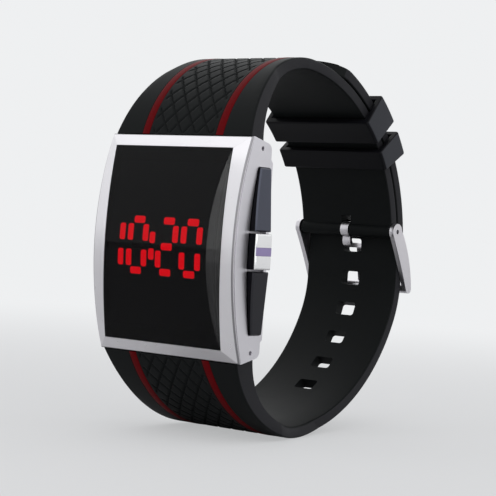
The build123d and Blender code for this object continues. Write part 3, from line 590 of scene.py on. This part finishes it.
def spline_value(points, at):
    """Smooth value through a table of points, level beyond its ends."""
    points = sorted(points)
    if at <= points[0][0]:
        return points[0][1]
    if at >= points[-1][0]:
        return points[-1][1]
    slopes = [(b[1] - a[1]) / (b[0] - a[0]) for a, b in zip(points, points[1:])]
    tangents = [slopes[0]] + [(a + b) / 2 for a, b in zip(slopes, slopes[1:])] + [slopes[-1]]
    for i, (a, b) in enumerate(zip(points, points[1:])):
        if at <= b[0]:
            span = b[0] - a[0]
            t = (at - a[0]) / span
            return ((2 * t ** 3 - 3 * t ** 2 + 1) * a[1] + (t ** 3 - 2 * t ** 2 + t) * span * tangents[i]
                    + (3 * t ** 2 - 2 * t ** 3) * b[1] + (t ** 3 - t ** 2) * span * tangents[i + 1])


def half_width(half, y, z):
    """Half the strap's width where its surface passes a point of the side view."""
    reach = top_centre[1] + strap_outer_r if half == "upper" else under_r - under_centre[1]
    height = z if half == "upper" else -z
    rise = spline_value(rise_shares[half], height / reach)
    depth = spline_value(depth_shares[half], y / taper_end)
    wide = strap_back_half + (strap_root_half - strap_back_half) * min(rise, depth)
    tail = polar(top_centre, tail_outer_r, tail_turn)[0] + tail_round
    if half == "lower" and z > 0 and y < tail:
        wide = strap_back_half * sqrt(max(tail_tip_share, 1 - ((tail - y) / tail_round) ** 2))
    return wide


def slope_turn(centre, radius):
    """Angle where an arc meets the case's sloping end face."""
    low, high = 90.0, 180.0
    for _ in range(40):
        middle = (low + high) / 2
        y, z = polar(centre, radius, middle)
        face = half_h + strap_seam - max(0.0, y - end_slope_start) * tan(end_slope)
        if z > face:
            low = middle
        else:
            high = middle
    return low


def root_arc(centre, radius, turn, root_y, sign):
    """Arc that leaves the case's end at a depth and runs smoothly into a larger arc at an angle."""
    meet = polar(centre, radius, turn)
    step_y, step_z = meet[0] - root_y, meet[1] - sign * (half_h + strap_seam)
    rise = step_y * cos(radians(turn)) + step_z * sin(radians(turn))
    root_r = (step_y ** 2 + step_z ** 2) / (2 * rise)
    root = polar(centre, radius - root_r, turn)
    return root, root_r, sign * slope_turn((root[0], sign * root[1]), root_r), turn


def upper_chain():
    """Outer and inner arcs of the 12 o'clock half, as (centre, radius, from, to)."""
    return [[root_arc(top_centre, radius, turn, root_y, 1), (top_centre, radius, turn, pin_turn)]
            for radius, (turn, root_y) in zip((strap_outer_r, top_inner_r), upper_roots)]


def lower_chain():
    """Outer and inner arcs of the 6 o'clock half, with a straight rise as a radius of 0."""
    chains = []
    heel = polar(under_centre, under_r - heel_r, heel_turn)
    for inset, (turn, root_y) in zip((0, strap_wall), lower_roots):
        rise = ((top_centre[0] + tail_outer_r - inset, heel[1]), 0, heel[1], top_centre[1])
        chains.append([root_arc(under_centre, under_r - inset, turn, root_y, -1),
                       (under_centre, under_r - inset, turn, heel_turn),
                       (heel, heel_r - inset, heel_turn, 0), rise,
                       (top_centre, tail_outer_r - inset, 0, tail_turn)])
    return chains


def along_arc(arc, share):
    """Point of an arc, or of an upright line where the radius is 0."""
    centre, radius, start, stop = arc
    if radius == 0:
        return (centre[0], start + (stop - start) * share)
    return polar(centre, radius, start + (stop - start) * share)


def arc_length(arc):
    centre, radius, start, stop = arc
    return abs(stop - start) if radius == 0 else radius * radians(abs(stop - start))


def stations(outer, inner, fine_to, fine_step):
    """Pairs of outer and inner points along a half, closer together where the relief is."""
    rows, travelled = [], 0.0
    whole = sum(arc_length(arc) for arc in outer)
    for out, back in zip(outer, inner):
        length = arc_length(out)
        at = 0.0
        while at < length - last_step:
            step = fine_step if travelled + at < fine_to else plain_step
            if out[0] == top_centre and whole - travelled - at < tail_fine and len(outer) > 2:
                step = tail_step
            share = at / length
            rows.append((travelled + at, along_arc(out, share), along_arc(back, share)))
            at += step
        travelled += length
    rows.append((travelled, along_arc(outer[-1], 1), along_arc(inner[-1], 1)))
    return rows


def groove(x, s):
    """Depth of the diamond relief: two families of slanted grooves."""
    deepest = 0.0
    for sign in (1, -1):
        phase = (x / cell_across + sign * s / cell_along) % 1.0
        away = min(phase, 1 - phase) / hypot(1 / cell_across, 1 / cell_along)
        if away < groove_width / 2:
            deepest = max(deepest, 0.5 + 0.5 * cos(2 * pi * away / groove_width))
    return deepest * groove_depth


def cross_section(width, s, relief_end, wall):
    """Closed outline of the strap at one station: (x, depth), depth 0 outside and wall inside."""
    edge, inner = stripe_centre + stripe_width / 2, stripe_centre - stripe_width / 2
    relief = s < relief_end
    lip, dip = (groove_lip, stripe_depth) if relief else (0.0, 0.0)
    side = []
    for step in range(edge_steps + 1):
        turn = radians(90 * step / edge_steps)
        side.append((width - edge_round + edge_round * cos(turn), edge_round * (1 - sin(turn))))
    reach = max(width - edge_round, edge + 2 * groove_lip)
    side += [(reach + (edge + groove_lip - reach) * share, 0.0) for share in (0.35, 0.7)]
    side += [(edge + groove_lip, 0.0), (edge, lip), (edge, dip), (inner, dip), (inner, lip),
             (inner - groove_lip, 0.0)]
    right = [(min(x, width), depth) for x, depth in side]
    left = [(-x, depth) for x, depth in right]
    ridge = inner - groove_lip
    count = int(2 * ridge / relief_step)
    middle = []
    for i in range(1, count):
        x = max(-width, min(width, -ridge + 2 * ridge * i / count))
        fade = min(1.0, (inner - relief_margin - abs(x)) / relief_fade, (relief_end - s) / relief_end_fade,
                   s / relief_end_fade)
        middle.append((x, groove(x, s) * max(0.0, fade) if relief else 0.0))
    under = []
    for step in range(inside_steps + 1):
        turn = radians(90 * step / inside_steps)
        under.append((width - edge_round * (1 - cos(turn)), wall - edge_round * (1 - sin(turn))))
    across = [(width * share, wall) for share in (0.5, 0.0, -0.5)]
    return left + middle + right[::-1] + under + across + [(-x, depth) for x, depth in reversed(under)]


def sweep(name, rows, outline):
    """A tube of cross-sections along stations, wrapped from a grid and closed at both ends."""
    sections = [outline(row) for row in rows]
    wide, long = len(sections[0]), len(rows)
    deselect()
    bpy.ops.mesh.primitive_grid_add(x_subdivisions=wide, y_subdivisions=long - 1, size=1)
    piece = named(name)
    for vertex in piece.data.vertices:
        i = round((vertex.co.x + 0.5) * wide) % wide
        j = round((vertex.co.y + 0.5) * (long - 1))
        vertex.co = sections[j][i]
    edit(piece)
    bpy.ops.mesh.remove_doubles(threshold=sweep_weld)
    bpy.ops.mesh.select_all(action="DESELECT")
    bpy.ops.mesh.select_mode(type="EDGE")
    bpy.ops.mesh.select_non_manifold()
    bpy.ops.mesh.fill()
    leave()
    return outward(piece)


def laid(row, points):
    """Points (x, depth) of a cross-section set at a station."""
    _, out, back = row
    run = Vector((0, back[0] - out[0], back[1] - out[1]))
    start = Vector((0, out[0] - wrist_to_front, out[1]))
    run.normalize()
    return [Vector((x, 0, 0)) + start + run * depth for x, depth in points]


def row_wall(row):
    """The strap's thickness at a station."""
    return hypot(row[2][0] - row[1][0], row[2][1] - row[1][1])


def strap_sheet(half, outer, inner, relief_end):
    """The body of one half, with its relief and stripe grooves."""
    def outline(row):
        width = half_width(half, *row[1])
        return laid(row, cross_section(width, row[0], relief_end, row_wall(row)))
    return sweep("strap_" + half + "_body", stations(outer, inner, relief_end, relief_step), outline)


def relief_reach(arcs, stop):
    """Length along a chain of arcs to an angle of one of them."""
    total = 0.0
    for centre, radius, start, finish in arcs:
        if min(start, finish) <= stop <= max(start, finish) and radius:
            return total + radius * radians(abs(stop - start))
        total += arc_length((centre, radius, start, finish))
    return total


def stripe(name, rows, side, relief_end):
    """Red inlay that fills its groove and stands a hair proud."""
    middle = side * stripe_centre
    wide = stripe_width / 2 - stripe_play
    top, shoulder = -stripe_proud, stripe_soft - stripe_proud
    shape = [(-wide, stripe_depth), (-wide, shoulder), (-wide + stripe_soft, top), (0, top - stripe_crown),
             (wide - stripe_soft, top), (wide, shoulder), (wide, stripe_depth)]
    kept = [row for row in rows if row[0] <= relief_end]
    return sweep(name, kept, lambda row: laid(row, [(middle + x, depth) for x, depth in shape]))


def mid_wall(arc):
    """An arc of the outer face, or its upright, moved to the middle of the wall."""
    centre, radius, start, stop = arc
    if radius == 0:
        return (centre[0] - strap_wall / 2, centre[1]), 0, start, stop
    return centre, radius - strap_wall / 2, start, stop


def slot_cutters(outer):
    """Rounded blocks that cut the strap's holes, square to its surface."""
    chain = [mid_wall(arc) for arc in outer[1:]]
    length = sum(arc_length(arc) for arc in chain)
    tail_r = tail_outer_r - strap_wall / 2
    first = length - (radians(tail_turn) - asin((slot_first_z - top_centre[1]) / tail_r)) * tail_r
    cutters = []
    for step in range(-slots_down, slots_up + 1):
        at = first + step * slot_pitch
        point, ahead = chain_point(chain, at), chain_point(chain, at + slot_ahead)
        turn = atan2(ahead[1] - point[1], ahead[0] - point[0])
        cutter = block("slot_cutter", (-slot_width / 2, -slot_length / 2, -2 * strap_wall),
                       (slot_width / 2, slot_length / 2, 2 * strap_wall))
        apply_modifier(cutter, "BEVEL", width=slot_round, segments=4, limit_method="ANGLE")
        cutter.data.transform(Matrix.Translation((0, point[0] - wrist_to_front, point[1]))
                              @ Matrix.Rotation(turn, 4, "X"))
        cutters.append(cutter)
    return cutters


def chain_point(chain, at):
    """Point at a length along a chain of arcs."""
    for arc in chain:
        length = arc_length(arc)
        if at <= length or arc is chain[-1]:
            return along_arc(arc, at / length)
        at -= length


def cut(piece, cutter, operation="DIFFERENCE"):
    """Takes one closed piece out of another, or joins the two."""
    apply_modifier(piece, "BOOLEAN", operation=operation, object=cutter, solver="EXACT")
    bpy.data.objects.remove(cutter)
    return piece


def bar_across(name, half, radius, y, z):
    """Round bar along X, at a place of the side view."""
    deselect()
    bpy.ops.mesh.primitive_cylinder_add(vertices=bar_sides, radius=radius, depth=2 * half,
                                        location=(0, y - wrist_to_front, z), rotation=(0, pi / 2, 0))
    return named(name)


def lug_tongue(name, sign):
    """Narrow root between the lugs, rounded about its spring bar."""
    half = half_w - tongue_side
    ends = sorted((sign * (bar_z - tongue_r), sign * (half_h + tongue_r)))
    piece = block(name, (-half, bar_y - tongue_r - wrist_to_front, ends[0]),
                  (half, bar_y + tongue_r - wrist_to_front, ends[1]))
    tip = sign * (bar_z - tongue_r)
    edit(piece, edges=lambda a, b: (max(abs(a.z - tip), abs(b.z - tip)) < tongue_play
                                    and abs(a.x - b.x) > half))
    bpy.ops.mesh.bevel(offset=tongue_r * tongue_round_share, segments=8)
    leave()
    return cut(piece, bar_across("bore", half_w, bar_r + bore_play, bar_y, sign * bar_z))


def pin_eye(sheet):
    """Round eye at the end of the 12 o'clock half, with its bore and a notch for the tongue."""
    y, z = polar(top_centre, top_inner_r + strap_wall / 2 - pin_inset, pin_turn)
    cut(sheet, bar_across("eye", strap_back_half - edge_round / 2, pin_eye_r, y, z), "UNION")
    cut(sheet, bar_across("bore", half_w, pin_r + bore_play, y, z))
    y -= wrist_to_front
    return cut(sheet, block("notch", (-notch_half, y - strap_wall, z - notch_reach),
                            (notch_half, y + 2 * strap_wall, z + notch_reach)))


def inlay(half, outer, inner, relief_end):
    """Both red stripes of one half, joined into one piece."""
    rows = stations(outer, inner, relief_end, stripe_step)
    ribbons = [stripe("stripe_" + half + "_" + word, rows, side, relief_end)
               for word, side in (("left", -1), ("right", 1))]
    red = shade(join(ribbons, "stripes_" + half + "_inlay"), smooth=50.0)
    finished(red, "watch", "stripe_red", stripe_red, "stripes_" + half)


def strap_body(half, outer, inner, relief_end, worked):
    """The silicone of one half, with the eye or the holes that its far end gets."""
    body = shade(worked(strap_sheet(half, outer, inner, relief_end)), smooth=30.0)
    # The flat sides get a lighter colour: painted light.
    finished(with_painted_light_sides(body, strap_black, strap_side_painted_light), "watch", "strap_silicone", None, "strap_" + half)


def strap_root(half, sign):
    """The root of one half, between the lugs."""
    root = shade(lug_tongue("strap_" + half + "_root", sign), smooth=40.0)
    finished(root, "watch", "strap_silicone", strap_black)


def holed(sheet):
    """The 6 o'clock half with its row of holes."""
    return cut(sheet, join(slot_cutters(lower_chain()[0]), "slot_cutters"))


def strap():
    """Both halves, the 12 o'clock one first."""
    outer, inner = upper_chain()
    relief_end = relief_reach(outer, stripe_end_turn)
    strap_body("upper", outer, inner, relief_end, pin_eye)
    inlay("upper", outer, inner, relief_end)
    strap_root("upper", 1)

    outer, inner = lower_chain()
    relief_end = relief_reach(outer, stripe_under_turn)
    strap_body("lower", outer, inner, relief_end, holed)
    strap_root("lower", -1)
    inlay("lower", outer, inner, relief_end)


# Stage

def camera():
    back = Vector((sin(camera_turn) * cos(camera_height), -cos(camera_turn) * cos(camera_height),
                   sin(camera_height)))
    right = Vector((cos(camera_turn), sin(camera_turn), 0))
    up = back.cross(right)
    place = back * camera_distance - right * camera_aside - up * camera_lift - Vector((0, wrist_to_front, 0))
    turned_right = right * cos(camera_roll) + up * sin(camera_roll)
    turned_up = up * cos(camera_roll) - right * sin(camera_roll)
    data = bpy.data.cameras.new("camera")
    data.lens = camera_lens
    data.clip_start = camera_near
    made = bpy.data.objects.new("camera", data)
    bpy.context.scene.collection.objects.link(made)
    turn = Matrix((turned_right, turned_up, back)).transposed().to_4x4()
    made.matrix_world = Matrix.Translation(place) @ turn
    bpy.context.scene.camera = made


def lamp(name, place, target, size, power):
    """A square area lamp that faces a point."""
    data = bpy.data.lights.new(name, "AREA")
    data.shape = "RECTANGLE"
    data.size = data.size_y = size
    data.energy = power
    made = bpy.data.objects.new(name, data)
    bpy.context.scene.collection.objects.link(made)
    made.location = place
    made.rotation_euler = (Vector(target) - Vector(place)).to_track_quat("-Z", "Y").to_euler()


def pale_floor():
    """Grey floor that takes shadows and fades into the pale background for the camera."""
    deselect()
    bpy.ops.mesh.primitive_plane_add(size=floor_size, location=(0, 0, cad_low.z - floor_gap))
    floor = named("floor")
    look, tree, principled = shader("pale floor", Base_Color=(0.55, 0.555, 0.56, 1), Roughness=0.8)
    place = add(tree, "ShaderNodeTexCoord")
    reach = add(tree, "ShaderNodeVectorMath", operation="LENGTH")
    fade = add(tree, "ShaderNodeMapRange", interpolation_type="SMOOTHSTEP",
               **{"From Min": floor_clear, "From Max": floor_faded, "To Min": floor_lift})
    backdrop = add(tree, "ShaderNodeEmission", Color=background, Strength=1.0)
    mix = tree.nodes.new("ShaderNodeMixShader")
    tree.links.new(place.outputs["Object"], reach.inputs[0])
    tree.links.new(reach.outputs["Value"], fade.inputs["Value"])
    seen = add(tree, "ShaderNodeMath", operation="MULTIPLY")
    tree.links.new(fade.outputs["Result"], seen.inputs[0])
    tree.links.new(tree.nodes.new("ShaderNodeLightPath").outputs["Is Camera Ray"], seen.inputs[1])
    tree.links.new(seen.outputs["Value"], mix.inputs["Fac"])
    tree.links.new(principled.outputs["BSDF"], mix.inputs[1])
    tree.links.new(backdrop.outputs["Emission"], mix.inputs[2])
    tree.links.new(mix.outputs["Shader"], tree.nodes["Material Output"].inputs["Surface"])
    floor.data.materials.append(look)


def studio():
    """Light that grows from left to right, with the pale background seen and mirrored before it."""
    world = bpy.data.worlds.new("studio")
    bpy.context.scene.world = world
    world.use_nodes = True
    tree = world.node_tree
    tree.nodes.clear()
    path = tree.nodes.new("ShaderNodeLightPath")
    around = add(tree, "ShaderNodeTexCoord")
    lean = add(tree, "ShaderNodeVectorMath", operation="DOT_PRODUCT")
    lean.inputs[1].default_value = studio_lean
    level = add(tree, "ShaderNodeMapRange", interpolation_type="SMOOTHSTEP")
    for title, value in zip(("From Min", "From Max", "To Min", "To Max"), studio_levels):
        level.inputs[title].default_value = value
    room = add(tree, "ShaderNodeBackground", Color=(0.98, 0.98, 1.0, 1))
    white = add(tree, "ShaderNodeBackground", Color=background, Strength=1.0)
    tree.links.new(around.outputs["Generated"], lean.inputs[0])
    tree.links.new(lean.outputs["Value"], level.inputs["Value"])
    tree.links.new(level.outputs["Result"], room.inputs["Strength"])
    clear = add(tree, "ShaderNodeMath", operation="MAXIMUM")
    tree.links.new(path.outputs["Is Camera Ray"], clear.inputs[0])
    tree.links.new(path.outputs["Is Transmission Ray"], clear.inputs[1])
    shown = add(tree, "ShaderNodeMath", operation="MAXIMUM")
    tree.links.new(clear.outputs["Value"], shown.inputs[0])
    tree.links.new(path.outputs["Is Glossy Ray"], shown.inputs[1])
    mix = tree.nodes.new("ShaderNodeMixShader")
    output = tree.nodes.new("ShaderNodeOutputWorld")
    tree.links.new(shown.outputs["Value"], mix.inputs["Fac"])
    tree.links.new(room.outputs["Background"], mix.inputs[1])
    tree.links.new(white.outputs["Background"], mix.inputs[2])
    tree.links.new(mix.outputs["Shader"], output.inputs["Surface"])

    for name, values in lamps.items():
        lamp(name, *values)


def paint(node_name, look):
    """Gives a carried-over CAD node its finished material."""
    coat(node[node_name], look)


camera()
pale_floor()
studio()
finished(bezel(), "watch", "bezel_steel", None, "bezel")
finished(lens(), "watch", "lens_tint", None, "lens")
strap()

for name, look, slot in (("case_body", case_steel, "case_steel"), ("case_back", back_steel, "back_steel"),
                         ("back_screws", screw_steel, "screw_steel")):
    finished(soften(cad_copy(name + "_shell", name), case_round, smooth=30.0), "watch", slot, look, name)
for name, body in (("fixed_keeper", "watch"), ("sliding_keeper", "sliding_keeper")):
    band = soften(cad_copy(name + "_shell", name), keeper_round, segments=3, angle=35.0, smooth=35.0)
    # The keepers' flat sides get a lighter colour: painted light.
    finished(with_painted_light_sides(band, keeper_black, keeper_side_painted_light), body, "keeper_silicone", None, name)
for name, width in (("buckle_frame", buckle_round), ("buckle_tongue", tongue_round)):
    shell = soften(cad_copy(name + "_shell", name), width, segments=3, angle=35.0, smooth=35.0)
    finished(shell, name, "buckle_steel", buckle_steel, name)
for name, look, slot in (("upper_button", upper_grey, "button_grey"),
                         ("lower_button", lower_grey, "button_grey"),
                         ("crown_button", crown_steel, "crown_steel")):
    cap = coat(cad_copy(name + "_shell", name), look)
    soften(cap, button_round, segments=3, angle=35.0, smooth=35.0)
    second_look(cap, flank_black, lambda face: face.normal.x < 0.5)
    finished(cap, name, slot, None, name)
finished(crown_inlay(), "crown_button", "crown_steel", crown_band)

looks = {"lens_gasket": mask_black, "display_mask": mask_black, "led_bars_lit": bar_red,
         "led_bars_unlit": bar_dark, "led_board": tray_black, "module_frame": tray_black,
         "circuit_board": board_green, "controller_chip": tray_black, "quartz_can": spring_steel,
         "button_cell": screw_steel,
         "cell_contact": contact_brass, "cell_clip": contact_brass, "switch_contacts": contact_brass,
         "back_gasket": seal_black, "lug_spring_bars": bar_steel, "buckle_pin": bar_steel}
for name in ("upper", "crown", "lower"):
    looks[name + "_button_seal"] = seal_black
    looks[name + "_button_clip"] = spring_steel
    looks[name + "_button_spring"] = spring_steel
for name, look in looks.items():
    paint(name, look)

bpy.context.scene.view_settings.view_transform = "Standard"
deselect()
